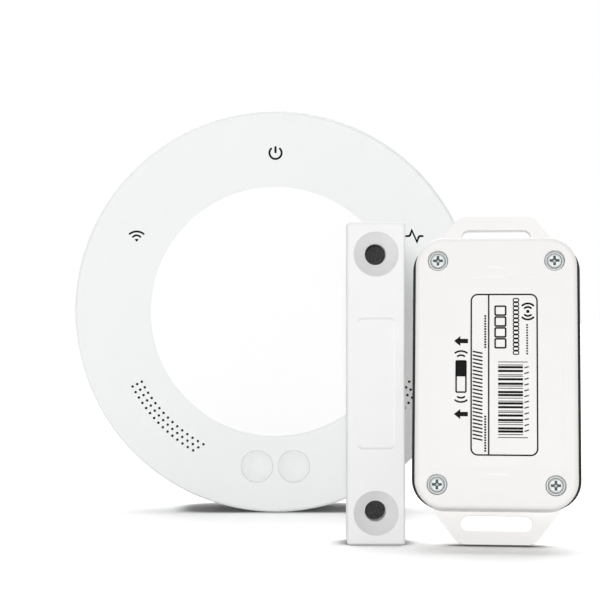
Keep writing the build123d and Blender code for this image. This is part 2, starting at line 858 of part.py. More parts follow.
cover_margin = bar_cover_step - bar_gap
with BuildPart() as magnet_cover:
    with BuildSketch(behind(MAGNET, magnet_depth)):
        Rectangle(bar_size[0] + 2 * cover_margin, bar_size[1] + 2 * cover_margin)
    extrude(amount=bar_cover_thickness)

save(magnet_cover, "magnet_cover")

with BuildPart() as foam_pad:
    with BuildSketch(behind(MAGNET, magnet_depth)):
        RectangleRounded(magnet_width - 2 * foam_inset, magnet_height - 2 * foam_inset, magnet_corner)
    extrude(amount=-foam_thickness)

save(foam_pad, "foam_pad")

# Places and depths in the gate sensor
box_front = lid_depth + gasket_thickness
box_floor = box_depth - box_wall
column_meeting = lid_depth + gasket_thickness / 2
lid_screw_x = lid_width / 2 - lid_screw_inset[0]
lid_screw_y = lid_height / 2 - lid_screw_inset[1]
lid_screw_places = [(x, y) for x in (-lid_screw_x, lid_screw_x) for y in (-lid_screw_y, lid_screw_y)]
sensor_board_width = lid_width - 2 * (box_wall + sensor_board_gap[0])
sensor_board_height = 2 * (lid_screw_y - lid_column_radius - sensor_board_gap[1])
post_x = sensor_board_width / 2 - sensor_post_inset
post_y = sensor_board_height / 2 - sensor_post_inset
post_places = [(x, y) for x in (-post_x, post_x) for y in (-post_y, post_y)]
recess_width = lid_width - 2 * label_recess_inset[0]
recess_height = lid_height - 2 * label_recess_inset[1]
mark_row = recess_height / 2 + mark_gap
lug_end = lid_height / 2 + lug_reach
slot_row = lug_end - strap_slot_from_end

# Sensor base: a box with screw columns, board posts and a slotted lug at each end
with BuildPart() as sensor_base:
    with BuildSketch(behind(SENSOR, box_depth)):
        RectangleRounded(lid_width, lid_height, lid_corner)
    extrude(amount=box_depth - box_front)
    fillet(sensor_base.faces().sort_by(SENSOR_AXIS)[0].edges(), box_back_edge)
    with BuildSketch(behind(SENSOR, box_depth)) as lugs:
        with BuildLine():
            Polyline(
                (-lug_end_width / 2, lug_end),
                (lug_end_width / 2, lug_end),
                (lug_root_width / 2, lid_height / 2),
                (lug_root_width / 2, lid_height / 2 - lid_corner),
                (-lug_root_width / 2, lid_height / 2 - lid_corner),
                (-lug_root_width / 2, lid_height / 2),
                close=True,
            )
        make_face()
        fillet(lugs.vertices().group_by(Axis.Y)[-1], lug_corner)
        mirror(about=Plane.XZ)
        with Locations((0, slot_row), (0, -slot_row)):
            SlotOverall(strap_slot_length, strap_slot_width, mode=Mode.SUBTRACT)
    extrude(amount=lug_thickness)
    with BuildSketch(behind(SENSOR, box_floor)):
        RectangleRounded(lid_width - 2 * box_wall, lid_height - 2 * box_wall, lid_corner - box_wall)
    extrude(amount=box_floor - box_front, mode=Mode.SUBTRACT)
    with BuildSketch(behind(SENSOR, box_floor)):
        with Locations(*lid_screw_places):
            Circle(lid_column_radius)
    extrude(amount=box_floor - column_meeting)
    with BuildSketch(behind(SENSOR, box_floor)):
        with Locations(*post_places):
            Circle(sensor_post_radius)
    extrude(amount=box_floor - sensor_board_back)
    with BuildSketch(behind(SENSOR, column_meeting)):
        with Locations(*lid_screw_places):
            Circle(lid_screw_radius + thread_gap)
    extrude(amount=column_meeting - lid_sink_depth - lid_screw_length - part_gap, mode=Mode.SUBTRACT)
    with BuildSketch(behind(SENSOR, sensor_board_back)):
        with Locations(*post_places):
            Circle(post_screw_radius + thread_gap)
    extrude(amount=sensor_board_back - box_floor, mode=Mode.SUBTRACT)

save(sensor_base, "sensor_base")

# Sensor lid: sunk screws in columns, a shallow recess for the label and two thumb marks
with BuildPart() as sensor_lid:
    with BuildSketch(behind(SENSOR, lid_depth)):
        RectangleRounded(lid_width, lid_height, lid_corner)
    extrude(amount=lid_depth)
    fillet(sensor_lid.faces().sort_by(SENSOR_AXIS)[-1].edges(), lid_edge)
    with BuildSketch(behind(SENSOR, lid_depth)):
        RectangleRounded(lid_width - 2 * box_wall, lid_height - 2 * box_wall, lid_corner - box_wall)
    extrude(amount=lid_depth - lid_top, mode=Mode.SUBTRACT)
    with BuildSketch(behind(SENSOR, column_meeting)):
        with Locations(*lid_screw_places):
            Circle(lid_column_radius)
    extrude(amount=column_meeting - lid_top)
    with BuildSketch(SENSOR):
        with Locations(*lid_screw_places):
            Circle(lid_sink_radius)
    extrude(amount=-lid_sink_depth, mode=Mode.SUBTRACT)
    with BuildSketch(SENSOR):
        with Locations(*lid_screw_places):
            Circle(lid_screw_radius + slide_gap)
    extrude(amount=-column_meeting, mode=Mode.SUBTRACT)
    with BuildSketch(SENSOR):
        RectangleRounded(recess_width, recess_height, label_corner)
    extrude(amount=-label_recess_depth, mode=Mode.SUBTRACT)
    with BuildSketch(SENSOR):
        with BuildLine():
            Line((-mark_width / 2, mark_row), (mark_width / 2, mark_row))
            ThreePointArc(
                (-mark_width / 2, mark_row), (0, mark_row + mark_height), (mark_width / 2, mark_row)
            )
        make_face()
        mirror(about=Plane.XZ)
    extrude(amount=-mark_depth, mode=Mode.SUBTRACT)

save(sensor_lid, "sensor_lid")

# Gasket between lid and base, standing proud at the sides and passing round the screw columns
with BuildPart() as sensor_gasket:
    with BuildSketch(behind(SENSOR, box_front)):
        RectangleRounded(gasket_width, gasket_height, lid_corner)
        RectangleRounded(
            lid_width - 2 * box_wall,
            lid_height - 2 * box_wall,
            lid_corner - box_wall,
            mode=Mode.SUBTRACT,
        )
        with Locations(*lid_screw_places):
            Circle(lid_column_radius + seat_gap, mode=Mode.SUBTRACT)
    extrude(amount=gasket_thickness)

save(sensor_gasket, "sensor_gasket")

lid_screws = screws(
    behind(SENSOR, lid_sink_depth),
    lid_screw_places,
    (lid_head_radius, lid_head_thickness),
    (lid_screw_radius, lid_screw_length),
)
save(lid_screws, "lid_screws")

with BuildPart() as sensor_label:
    with BuildSketch(behind(SENSOR, label_recess_depth)):
        RectangleRounded(recess_width - 2 * label_margin, recess_height - 2 * label_margin, label_corner)
    extrude(amount=label_thickness)

save(sensor_label, "sensor_label")

# Sensor board on its posts
sensor_board_front = sensor_board_back - board_thickness
sensor_deck = behind(SENSOR, sensor_board_front)
with BuildPart() as sensor_board:
    with BuildSketch(sensor_deck):
        RectangleRounded(sensor_board_width, sensor_board_height, sensor_board_corner)
        with Locations(*post_places):
            Circle(post_screw_radius + slide_gap, mode=Mode.SUBTRACT)
    extrude(amount=-board_thickness)

save(sensor_board, "sensor_board")

post_screws = screws(
    sensor_deck,
    post_places,
    (post_head_radius, post_head_thickness),
    (post_screw_radius, board_thickness + box_floor - sensor_board_back - part_gap),
)
save(post_screws, "sensor_board_screws")

# Coin cell in its holder, under a spring clip
with BuildPart() as cell_holder:
    with BuildSketch(sensor_deck):
        with Locations(cell_place):
            Circle(cell_radius + slide_gap + holder_wall)
    extrude(amount=holder_height)
    with BuildSketch(behind(SENSOR, sensor_board_front - holder_floor)):
        with Locations(cell_place):
            Circle(cell_radius + slide_gap)
            Rectangle(2 * cell_radius + 4 * holder_wall, clip_width + 2 * part_gap)
    extrude(amount=holder_height, mode=Mode.SUBTRACT)

save(cell_holder, "cell_holder")

cell_back = sensor_board_front - holder_floor
with BuildPart() as coin_cell:
    with BuildSketch(behind(SENSOR, cell_back)):
        with Locations(cell_place):
            Circle(cell_radius)
    extrude(amount=cell_thickness)
    cell_rims = coin_cell.edges().filter_by(GeomType.CIRCLE).sort_by(SENSOR_AXIS)
    fillet(cell_rims[-1], cell_rim)
    chamfer(coin_cell.edges().filter_by(GeomType.CIRCLE).sort_by(SENSOR_AXIS)[0], cell_foot)

save(coin_cell, "coin_cell")

# The clip's arm crosses the cell, and its leg stands on the board beside the holder
clip_level = cell_back - cell_thickness
clip_end = cell_radius + slide_gap + holder_wall + part_gap
clip_origin = SENSOR.from_local_coords((cell_place[0], cell_place[1], 0))
with BuildPart() as cell_clip:
    with BuildSketch(Plane(origin=clip_origin, x_dir=SENSOR.x_dir, z_dir=-SENSOR.y_dir)):
        with BuildLine():
            Polyline(
                (-clip_end + holder_wall, -clip_level),
                (clip_end, -clip_level),
                (clip_end, -sensor_board_front),
                (clip_end + clip_thickness, -sensor_board_front),
                (clip_end + clip_thickness, clip_thickness - clip_level),
                (-clip_end + holder_wall, clip_thickness - clip_level),
                close=True,
            )
        make_face()
    extrude(amount=clip_width / 2, both=True)

save(cell_clip, "cell_clip")

# Reed switch: a glass tube on a bent lead beside the cell, on the magnet's side
reed_wire = wire_bridge(
    sensor_deck.from_local_coords((reed_offset, -reed_span / 2, 0)),
    SENSOR.y_dir,
    SENSOR.z_dir,
    reed_span,
    reed_height,
    lead_radius,
)
reed_middle = sensor_deck.from_local_coords((reed_offset, 0, reed_height))
with BuildPart() as reed_switch:
    with BuildSketch(Plane(origin=reed_middle, x_dir=SENSOR.x_dir, z_dir=SENSOR.y_dir)):
        Circle(reed_radius)
    extrude(amount=reed_length / 2, both=True)
    chamfer(reed_switch.edges().filter_by(GeomType.CIRCLE), reed_radius / 3)
    add(reed_wire.part)

save(reed_switch, "reed_switch")

save(raised_block(sensor_deck, sensor_chip_place, sensor_chip_size, chip_edge), "sensor_chip")

sensor_aerial_row = sensor_aerial_inset - sensor_board_height / 2
sensor_aerial = wire_bridge(
    sensor_deck.from_local_coords((-sensor_aerial_length / 2, sensor_aerial_row, 0)),
    SENSOR.x_dir,
    SENSOR.z_dir,
    sensor_aerial_length,
    aerial_height,
    aerial_wire_radius,
)
save(sensor_aerial, "sensor_aerial")
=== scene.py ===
import json
import math

import bmesh
import bpy
from mathutils import Matrix, Vector


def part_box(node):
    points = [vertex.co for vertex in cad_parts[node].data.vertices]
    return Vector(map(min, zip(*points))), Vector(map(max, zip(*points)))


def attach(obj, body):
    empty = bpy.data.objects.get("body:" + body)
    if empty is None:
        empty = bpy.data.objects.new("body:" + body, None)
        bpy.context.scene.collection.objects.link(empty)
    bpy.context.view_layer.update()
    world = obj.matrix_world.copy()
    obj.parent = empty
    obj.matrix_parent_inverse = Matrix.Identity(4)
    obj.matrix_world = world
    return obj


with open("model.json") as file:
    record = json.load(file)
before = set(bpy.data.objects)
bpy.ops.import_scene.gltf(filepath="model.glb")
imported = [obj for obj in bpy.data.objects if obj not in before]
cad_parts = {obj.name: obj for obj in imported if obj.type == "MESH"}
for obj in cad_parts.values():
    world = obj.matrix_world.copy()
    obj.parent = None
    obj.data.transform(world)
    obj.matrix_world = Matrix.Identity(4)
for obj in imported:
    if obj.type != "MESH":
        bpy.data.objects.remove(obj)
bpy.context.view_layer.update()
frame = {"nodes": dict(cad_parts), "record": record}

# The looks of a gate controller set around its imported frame: finishes, printed signs, a plain floor,
# soft light and a camera. Lengths are metres, except the printed marks, which are drawn in millimetres.

nodes = frame["nodes"]
MM = 0.001


# Units of the set, each with its face's own axes: right, up and out of the face

def face_at(origin, out):
    """The matrix that takes a drawing on a face, in millimetres, into the scene."""
    right = Vector((0, 0, 1)).cross(out).normalized()
    up = out.cross(right)
    turned = Matrix((right, up, out)).transposed().to_4x4()
    return Matrix.Translation(origin) @ turned @ Matrix.Scale(MM, 4)


towards_viewer = Vector((0, -1, 0))
hub_low, hub_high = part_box("ring_fascia")
hub_radius = (hub_high.x - hub_low.x) / 2
hub_centre = Vector(((hub_low.x + hub_high.x) / 2, hub_low.y, (hub_low.z + hub_high.z) / 2))

sensor_back = next(m for m in frame["record"]["mounts"] if m["name"] == "sensor_back_face")
sensor_out = -Vector(sensor_back["axis"])
label_low, label_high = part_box("sensor_label")
label_thickness = 0.15 * MM
label_middle = (label_low + label_high) / 2 + sensor_out * label_thickness / 2
label_face = face_at(label_middle, sensor_out)
sensor_axes = [label_face.col[i].to_3d().normalized() for i in range(3)]

# How far the lid screws' axes lie from the label's middle, to the side and up
screw_offsets = (14.7 * MM, 28.35 * MM)

# The rounded panel in the magnet bar's face: its middle, half its width and height, and its corners
bar_low, bar_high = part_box("magnet_housing")
panel_middle = (bar_low + bar_high) / 2
panel_half = (4.8 * MM, 16.7 * MM)
panel_corner = 1.5 * MM

# The three signs stand in front of the lamps, so their places come from the lamps' box
lamp_low, lamp_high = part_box("status_lamps")
lamp_half = Vector((1.0, 0.0, 0.625)) * MM
sign_faces = {
    "power": face_at((hub_centre.x, hub_low.y, lamp_high.z - lamp_half.z), towards_viewer),
    "signal": face_at((lamp_low.x + lamp_half.x, hub_low.y, lamp_low.z + lamp_half.z), towards_viewer),
    "pulse": face_at((lamp_high.x - lamp_half.x, hub_low.y, lamp_low.z + lamp_half.z), towards_viewer),
}


# Node helpers

def add(tree, kind, **settings):
    """A new node; settings are its properties, and its inputs where no property has that name."""
    made = tree.nodes.new(kind)
    for name, value in settings.items():
        if hasattr(made, name):
            setattr(made, name, value)
        else:
            made.inputs[name.replace("_", " ")].default_value = value
    return made


def feed(tree, socket, value):
    """Links an input to another node's output, or gives it a fixed value."""
    if isinstance(value, bpy.types.NodeSocket):
        tree.links.new(value, socket)
    else:
        socket.default_value = value


def maths(tree, operation, *terms):
    """The result of an operation on numbers."""
    made = add(tree, "ShaderNodeMath", operation=operation)
    for socket, term in zip(made.inputs, terms):
        feed(tree, socket, term)
    return made.outputs["Value"]


def vectors(tree, operation, *terms, result="Vector"):
    """The result of an operation on vectors."""
    made = add(tree, "ShaderNodeVectorMath", operation=operation)
    for socket, term in zip(made.inputs, terms):
        feed(tree, socket, term)
    return made.outputs[result]


def place(tree, stretch=(1, 1, 1)):
    """Where a point of the object is, in metres, stretched per axis."""
    where = add(tree, "ShaderNodeTexCoord")
    stretched = add(tree, "ShaderNodeMapping", Scale=stretch)
    tree.links.new(where.outputs["Object"], stretched.inputs["Vector"])
    return stretched.outputs["Vector"]


def place_from(tree, middle):
    """Where a point of the object is from a middle, in metres."""
    return vectors(tree, "SUBTRACT", add(tree, "ShaderNodeTexCoord").outputs["Object"], middle)


def noise(tree, size, detail=2.0, stretch=(1, 1, 1)):
    """Soft noise whose lumps are about this size, in metres."""
    made = add(tree, "ShaderNodeTexNoise", Scale=1 / size, Detail=detail)
    tree.links.new(place(tree, stretch), made.inputs["Vector"])
    return made.outputs["Fac"]


def cells(tree, size):
    """Round cells about this size, in metres: the distance from their middles."""
    made = add(tree, "ShaderNodeTexVoronoi", feature="F1", Scale=1 / size)
    tree.links.new(place(tree), made.inputs["Vector"])
    return made.outputs["Distance"]


def bands(tree, pitch, direction):
    """Even waves across one direction, this far apart in metres."""
    made = add(tree, "ShaderNodeTexWave", bands_direction=direction, Scale=1 / (pitch * 20) * math.tau)
    tree.links.new(place(tree), made.inputs["Vector"])
    return made.outputs["Fac"]


def spread(tree, factor, low, high):
    """A factor from 0 to 1 turned into a number between low and high."""
    made = add(tree, "ShaderNodeMapRange", To_Min=low, To_Max=high)
    tree.links.new(factor, made.inputs["Value"])
    return made.outputs["Result"]


def ranged(tree, value, low, high, at_low, at_high):
    """A value turned smoothly into a number, from one at the low end to one at the high end."""
    made = add(tree, "ShaderNodeMapRange", interpolation_type="SMOOTHSTEP")
    for socket, number in (("From Min", low), ("From Max", high), ("To Min", at_low), ("To Max", at_high)):
        made.inputs[socket].default_value = number
    tree.links.new(value, made.inputs["Value"])
    return made.outputs["Result"]


def dotted(tree, vector, axis):
    """How far a vector reaches along an axis."""
    return vectors(tree, "DOT_PRODUCT", vector, axis, result="Value")


def between(tree, factor, one, other):
    """A factor from 0 to 1 turned into a colour between two colours, fixed ones or other nodes' outputs."""
    made = add(tree, "ShaderNodeMix", data_type="RGBA")
    tree.links.new(factor, made.inputs["Factor"])
    for socket, colour in ((made.inputs[6], one), (made.inputs[7], other)):
        feed(tree, socket, colour if isinstance(colour, bpy.types.NodeSocket) else (*colour, 1))
    return made.outputs[2]


def raised(tree, height, depth, under=None):
    """A normal from a height; depth is the height's real size in metres."""
    made = add(tree, "ShaderNodeBump", Distance=depth)
    tree.links.new(height, made.inputs["Height"])
    if under is not None:
        tree.links.new(under, made.inputs["Normal"])
    return made.outputs["Normal"]


def scaled(colour, share):
    """A colour made lighter or darker by a share."""
    return tuple(channel * share for channel in colour)


def principled(name, metallic=0.0, **sockets):
    """A new material with its shader; sockets are fixed values set on the shader itself."""
    made = bpy.data.materials.new(name)
    made.use_nodes = True
    shader = made.node_tree.nodes["Principled BSDF"]
    shader.inputs["Metallic"].default_value = metallic
    for socket, value in sockets.items():
        shader.inputs[socket.replace("_", " ")].default_value = value
    return made, made.node_tree, shader


def finished(tree, shader, colour, roughness, normal):
    """Links a shader's colour, roughness and normal."""
    tree.links.new(colour, shader.inputs["Base Color"])
    tree.links.new(roughness, shader.inputs["Roughness"])
    tree.links.new(normal, shader.inputs["Normal"])


# Materials

def moulded(name, colour, roughness, grain=0.35 * MM, depth=0.006 * MM, mottle=0.012):
    """Moulded plastic: spark-eroded grain, faint flow marks, and gloss that varies a little."""
    made, tree, shader = principled(name, IOR=1.49)
    flow = noise(tree, 14 * MM, detail=3.0)
    flowed = between(tree, flow, scaled(colour, 1 - mottle), scaled(colour, 1 + mottle))
    gloss = spread(tree, noise(tree, 2.5 * MM), roughness - 0.05, roughness + 0.05)
    wave = raised(tree, noise(tree, 9 * MM, detail=1.0), depth * 2)
    skin = raised(tree, noise(tree, grain, detail=3.0), depth, under=wave)
    finished(tree, shader, flowed, gloss, skin)
    return made


def panel_end_shaded(made, middle, half, corner, tone):
    """Painted shade along the two short ends of a rounded panel in a moulding's face, where the panel's
    recessed edges fall in shadow.
    """
    tree = made.node_tree
    base = tree.nodes["Principled BSDF"].inputs["Base Color"]
    clean = base.links[0].from_socket
    on_face = vectors(tree, "MULTIPLY", place_from(tree, middle), (1, 0, 1))
    corner_middle = (half[0] - corner, 0, half[1] - corner)
    beyond = vectors(tree, "SUBTRACT", vectors(tree, "ABSOLUTE", on_face), corner_middle)
    reach = vectors(tree, "LENGTH", vectors(tree, "MAXIMUM", beyond), result="Value")
    from_edge = maths(tree, "ABSOLUTE", maths(tree, "SUBTRACT", reach, corner))
    edge_band = ranged(tree, from_edge, 0.08 * MM, 0.32 * MM, 1, 0)
    ends = ranged(tree, dotted(tree, beyond, (0, 0, 1)), 0.35 * corner, 0.85 * corner, 0, 1)
    # Painted shade: a thin band along the edge, kept to the panel's top and bottom ends
    painted_shade = maths(tree, "MULTIPLY", edge_band, ends)
    tree.links.new(between(tree, painted_shade, clean, tone), base)
    return made


def plated(name, colour, roughness, scratch=(1, 1, 1)):
    """Plated or drawn metal: small spangles, rolled or turned scratches and uneven gloss."""
    made, tree, shader = principled(name, metallic=1.0)
    spangled = between(tree, cells(tree, 0.5 * MM), scaled(colour, 0.86), scaled(colour, 1.08))
    gloss = spread(tree, noise(tree, 0.8 * MM), roughness - 0.08, roughness + 0.1)
    lines = raised(tree, noise(tree, 0.3 * MM, detail=4.0, stretch=scratch), 0.004 * MM)
    finished(tree, shader, spangled, gloss, lines)
    return made


def cross_heads(name, colour, recess_shade, ring_tone, places):
    """Zinc-plated screw heads: a grey ring round each head that stands in for the shade in its sink, and
    painted shade in a dark star at the cross recess, with a paler middle.
    """
    made, tree, shader = principled(name, metallic=1.0)
    local = place_from(tree, label_middle)
    from_axis = []
    for axis, offset in zip(sensor_axes, places):
        folded = maths(tree, "ABSOLUTE", dotted(tree, local, axis))
        from_axis.append(maths(tree, "ABSOLUTE", maths(tree, "SUBTRACT", folded, offset)))
    diamond = maths(tree, "ADD", *from_axis)
    height = dotted(tree, local, sensor_axes[2])

    # Painted shade in a star: the recess's arms by their depth, and a diamond round its core, painted on
    # the head's top as well
    arms = ranged(tree, height, -0.45 * MM, -0.05 * MM, 1, 0)
    inside = ranged(tree, diamond, 1.35 * MM, 1.5 * MM, 1, 0)
    core = ranged(tree, diamond, 0.75 * MM, 0.95 * MM, 1, 0)
    star_shade = maths(tree, "MAXIMUM", maths(tree, "MULTIPLY", arms, inside), core)
    middle = ranged(tree, diamond, 0.3 * MM, 0.55 * MM, 0.3, 1)

    plan = add(tree, "ShaderNodeCombineXYZ")
    tree.links.new(from_axis[0], plan.inputs["X"])
    tree.links.new(from_axis[1], plan.inputs["Y"])
    reach = vectors(tree, "LENGTH", plan.outputs["Vector"], result="Value")
    # The head's rounded rim and the grey rings that stand in for the shade in the sinks take their own tone
    ring_part = ranged(tree, reach, 1.7 * MM, 2.05 * MM, 0, 1)

    plating = between(tree, cells(tree, 0.4 * MM), scaled(colour, 0.92), scaled(colour, 1.05))
    ringed = between(tree, ring_part, plating, scaled(colour, ring_tone))
    with_star_shade = between(tree, maths(tree, "MULTIPLY", star_shade, middle), ringed, recess_shade)
    gloss = spread(tree, noise(tree, 0.6 * MM), 0.55, 0.7)
    lines = raised(tree, noise(tree, 0.25 * MM, detail=4.0), 0.004 * MM)
    finished(tree, shader, with_star_shade, gloss, lines)
    return made


def rubber(name, colour):
    """Moulded rubber: dull, with a fine skin and a trace of bloom."""
    made, tree, shader = principled(name, IOR=1.52, Specular_IOR_Level=0.25)
    bloom = noise(tree, 4 * MM, detail=4.0)
    bloomed = between(tree, bloom, scaled(colour, 0.7), scaled(colour, 1.5))
    skin = raised(tree, noise(tree, 0.15 * MM, detail=3.0), 0.01 * MM)
    finished(tree, shader, bloomed, spread(tree, bloom, 0.5, 0.7), skin)
    return made


def foam(name, colour):
    """Closed-cell foam tape: packed bubbles, each darker at its rim."""
    made, tree, shader = principled(name, Roughness=0.95)
    bubbles = cells(tree, 0.45 * MM)
    rimmed = between(tree, bubbles, scaled(colour, 1.6), scaled(colour, 0.5))
    tree.links.new(rimmed, shader.inputs["Base Color"])
    tree.links.new(raised(tree, bubbles, 0.12 * MM), shader.inputs["Normal"])
    return made


def woven(name, colour):
    """Acoustic cloth: a plain weave of threads a quarter of a millimetre apart."""
    made, tree, shader = principled(name, Roughness=0.9)
    threads = maths(tree, "MULTIPLY", bands(tree, 0.25 * MM, "X"), bands(tree, 0.25 * MM, "Z"))
    weave = between(tree, threads, scaled(colour, 0.4), scaled(colour, 1.6))
    tree.links.new(weave, shader.inputs["Base Color"])
    tree.links.new(raised(tree, threads, 0.05 * MM), shader.inputs["Normal"])
    return made


def clear(name, colour, ior):
    """Clear acrylic or glass with faint draw lines."""
    made, tree, shader = principled(name, Transmission_Weight=1.0, IOR=ior)
    draw = noise(tree, 1.5 * MM, detail=3.0)
    tinted = between(tree, draw, scaled(colour, 0.96), colour)
    finished(tree, shader, tinted, spread(tree, draw, 0.02, 0.1), raised(tree, draw, 0.01 * MM))
    return made


def laminate(name, mask, copper):
    """A circuit board: solder mask over tracks that stand a little proud."""
    made, tree, shader = principled(name, IOR=1.55, Coat_Weight=0.4, Coat_Roughness=0.15)
    edge = add(tree, "ShaderNodeMapRange", From_Min=0.55, From_Max=0.65)
    tree.links.new(bands(tree, 1.3 * MM, "X"), edge.inputs["Value"])
    tracks = edge.outputs["Result"]
    gloss = spread(tree, noise(tree, 1.0 * MM), 0.25, 0.4)
    finished(tree, shader, between(tree, tracks, mask, copper), gloss, raised(tree, tracks, 0.035 * MM))
    return made


def printed(name, colour):
    """Screen-printed ink: nearly even, with the mesh's faint grain at its surface."""
    made, tree, shader = principled(name, IOR=1.45, Specular_IOR_Level=0.06)
    cover = noise(tree, 0.3 * MM, detail=3.0)
    inked = between(tree, cover, scaled(colour, 0.7), scaled(colour, 1.4))
    grain = raised(tree, noise(tree, 0.12 * MM), 0.004 * MM)
    finished(tree, shader, inked, spread(tree, cover, 0.45, 0.65), grain)
    return made


bar_plastic = moulded("magnet_plastic", (0.872, 0.872, 0.872), 0.52)
label_stock = (0.885, 0.868, 0.852)
screw_zinc = (0.47, 0.49, 0.49)
screw_shade = (0.075, 0.09, 0.09)
materials = {
    "ring_plastic": moulded("ring_plastic", (0.845, 0.868, 0.86), 0.52),
    "cap_plastic": moulded("cap_plastic", (0.975, 0.975, 0.975), 0.5, depth=0.003 * MM, mottle=0.006),
    "housing_plastic": moulded("housing_plastic", (0.82, 0.84, 0.83), 0.5, depth=0.01 * MM),
    # The buttons: the ring's plastic made three percent lighter, painted light that evens out the shade in
    # their dishes, and duller
    "button_plastic": moulded("button_plastic", (0.872, 0.895, 0.886), 0.7),
    # The magnet bar's plastic, with painted shade along its panel's top and bottom edges
    "magnet_plastic": panel_end_shaded(bar_plastic, panel_middle, panel_half, panel_corner, (0.73, 0.73, 0.73)),
    "sensor_plastic": moulded("sensor_plastic", (0.895, 0.88, 0.865), 0.5, depth=0.005 * MM),
    "label_white": moulded("label_white", label_stock, 0.46, grain=0.12 * MM, depth=0.002 * MM),
    "chip_black": moulded("chip_black", (0.02, 0.02, 0.022), 0.55, depth=0.01 * MM, mottle=0.2),
    "sounder_black": moulded("sounder_black", (0.022, 0.022, 0.022), 0.5, mottle=0.2),
    "holder_black": moulded("holder_black", (0.025, 0.025, 0.025), 0.5, mottle=0.2),
    "relay_blue": moulded("relay_blue", (0.02, 0.09, 0.28), 0.3, mottle=0.05),
    "terminal_green": moulded("terminal_green", (0.03, 0.22, 0.07), 0.45, mottle=0.05),
    "capacitor_sleeve": moulded("capacitor_sleeve", (0.02, 0.02, 0.035), 0.25, mottle=0.1),
    "lamp_white": moulded("lamp_white", (0.8, 0.76, 0.62), 0.3, mottle=0.04),
    "screw_steel": plated("screw_steel", (0.56, 0.56, 0.55), 0.3),
    # The lid screws: zinc plating with painted shade in the cross recess, and grey rings standing in for
    # the shade in their sinks
    "lid_screw_steel": cross_heads("lid_screw_steel", screw_zinc, screw_shade, 1.22, screw_offsets),
    "shield_steel": plated("shield_steel", (0.62, 0.63, 0.64), 0.3, scratch=(1, 1, 0.1)),
    "cell_steel": plated("cell_steel", (0.66, 0.66, 0.66), 0.22, scratch=(0.1, 1, 1)),
    "clip_steel": plated("clip_steel", (0.7, 0.7, 0.7), 0.2, scratch=(0.1, 1, 1)),
    "magnet_metal": plated("magnet_metal", (0.66, 0.66, 0.67), 0.15),
    "aerial_copper": plated("aerial_copper", (0.72, 0.36, 0.2), 0.25, scratch=(0.1, 1, 1)),
    "gasket_black": rubber("gasket_black", (0.006, 0.006, 0.006)),
    "foam_black": foam("foam_black", (0.044, 0.044, 0.044)),
    "cloth_black": woven("cloth_black", (0.02, 0.02, 0.02)),
    "guide_clear": clear("guide_clear", (0.95, 0.96, 0.97), 1.49),
    "reed_glass": clear("reed_glass", (0.8, 0.92, 0.86), 1.52),
    "board_laminate": laminate("board_laminate", (0.012, 0.09, 0.035), (0.03, 0.16, 0.06)),
    "sign_ink": printed("sign_ink", (0.007, 0.007, 0.007)),
}
slot_of = {part["node"]: part["material_slot"] for part in frame["record"]["subparts"]}
for name, node in nodes.items():
    node.data.materials.clear()
    node.data.materials.append(materials[slot_of[name]])


# Solids drawn on a face, in millimetres

def arc(centre, radius, start, end, steps=24):
    """Points along an arc, from one angle to another in degrees."""
    angles = [math.radians(start + (end - start) * step / steps) for step in range(steps + 1)]
    return [(centre[0] + radius * math.cos(a), centre[1] + radius * math.sin(a)) for a in angles]


def arc_about(centre, radius, middle, half_turn, steps=24):
    """Points along an arc that reaches half a turn's degrees to either side of its middle."""
    return arc(centre, radius, middle - half_turn, middle + half_turn, steps)


def rounded_box(low, high, corner, steps=6):
    """The outline of a rectangle with round corners."""
    corners = (
        (high[0] - corner, high[1] - corner, 0),
        (low[0] + corner, high[1] - corner, 90),
        (low[0] + corner, low[1] + corner, 180),
        (high[0] - corner, low[1] + corner, 270),
    )
    return [point for x, y, start in corners for point in arc((x, y), corner, start, start + 90, steps)]


def solid_piece(name, shape, face, slot):
    """Takes a shape drawn on a face into the scene as an object."""
    bmesh.ops.recalc_face_normals(shape, faces=shape.faces)
    shape.transform(face)
    mesh = bpy.data.meshes.new(name)
    shape.to_mesh(mesh)
    shape.free()
    mesh.materials.append(materials[slot])
    piece = bpy.data.objects.new(name, mesh)
    bpy.context.scene.collection.objects.link(piece)
    return piece


# Printed marks: thin solids of ink, a little raised and rooted in the surface

ink_top = 0.03
ink_root = -0.02


def filled(ink, outline):
    """A solid shape of ink inside an outline."""
    tops = [ink.verts.new((x, y, ink_top)) for x, y in outline]
    roots = [ink.verts.new((x, y, ink_root)) for x, y in outline]
    ink.faces.new(tops)
    ink.faces.new(roots[::-1])
    for i in range(len(outline)):
        ink.faces.new((tops[i - 1], tops[i], roots[i], roots[i - 1]))


def dot(ink, centre, radius, steps):
    """A round dot of ink."""
    filled(ink, arc(centre, radius, 0, 360 - 360 / steps, steps - 1))


def round_end(point, along, across, half):
    """The two edges of a line's round end, from beside the end's point out to its tip."""
    edges = []
    for angle in (20, 40, 60, 80):
        turn = math.radians(angle)
        tip = point + along * half * math.sin(turn)
        edges.append((tip + across * math.cos(turn), tip - across * math.cos(turn)))
    return edges


def sections(points, width, closed):
    """Where a line's two edges are at each of its points; an open line gets round ends."""
    half = width / 2
    found = []
    for i, point in enumerate(points):
        here = Vector(point)
        steps = []
        if closed or i > 0:
            steps.append((here - Vector(points[i - 1])).normalized())
        if closed or i < len(points) - 1:
            steps.append((Vector(points[(i + 1) % len(points)]) - here).normalized())
        along = sum(steps, Vector((0, 0))).normalized()
        across = Vector((-along.y, along.x))
        mitre = max(0.5, across.dot(Vector((-steps[0].y, steps[0].x))))
        found.append((here, along, across * half / mitre))
    edges = [(here + across, here - across) for here, along, across in found]
    if closed:
        return edges
    first, first_along, first_across = found[0]
    last, last_along, last_across = found[-1]
    start = round_end(first, -first_along, first_across, half)
    return [*reversed(start), *edges, *round_end(last, last_along, last_across, half)]


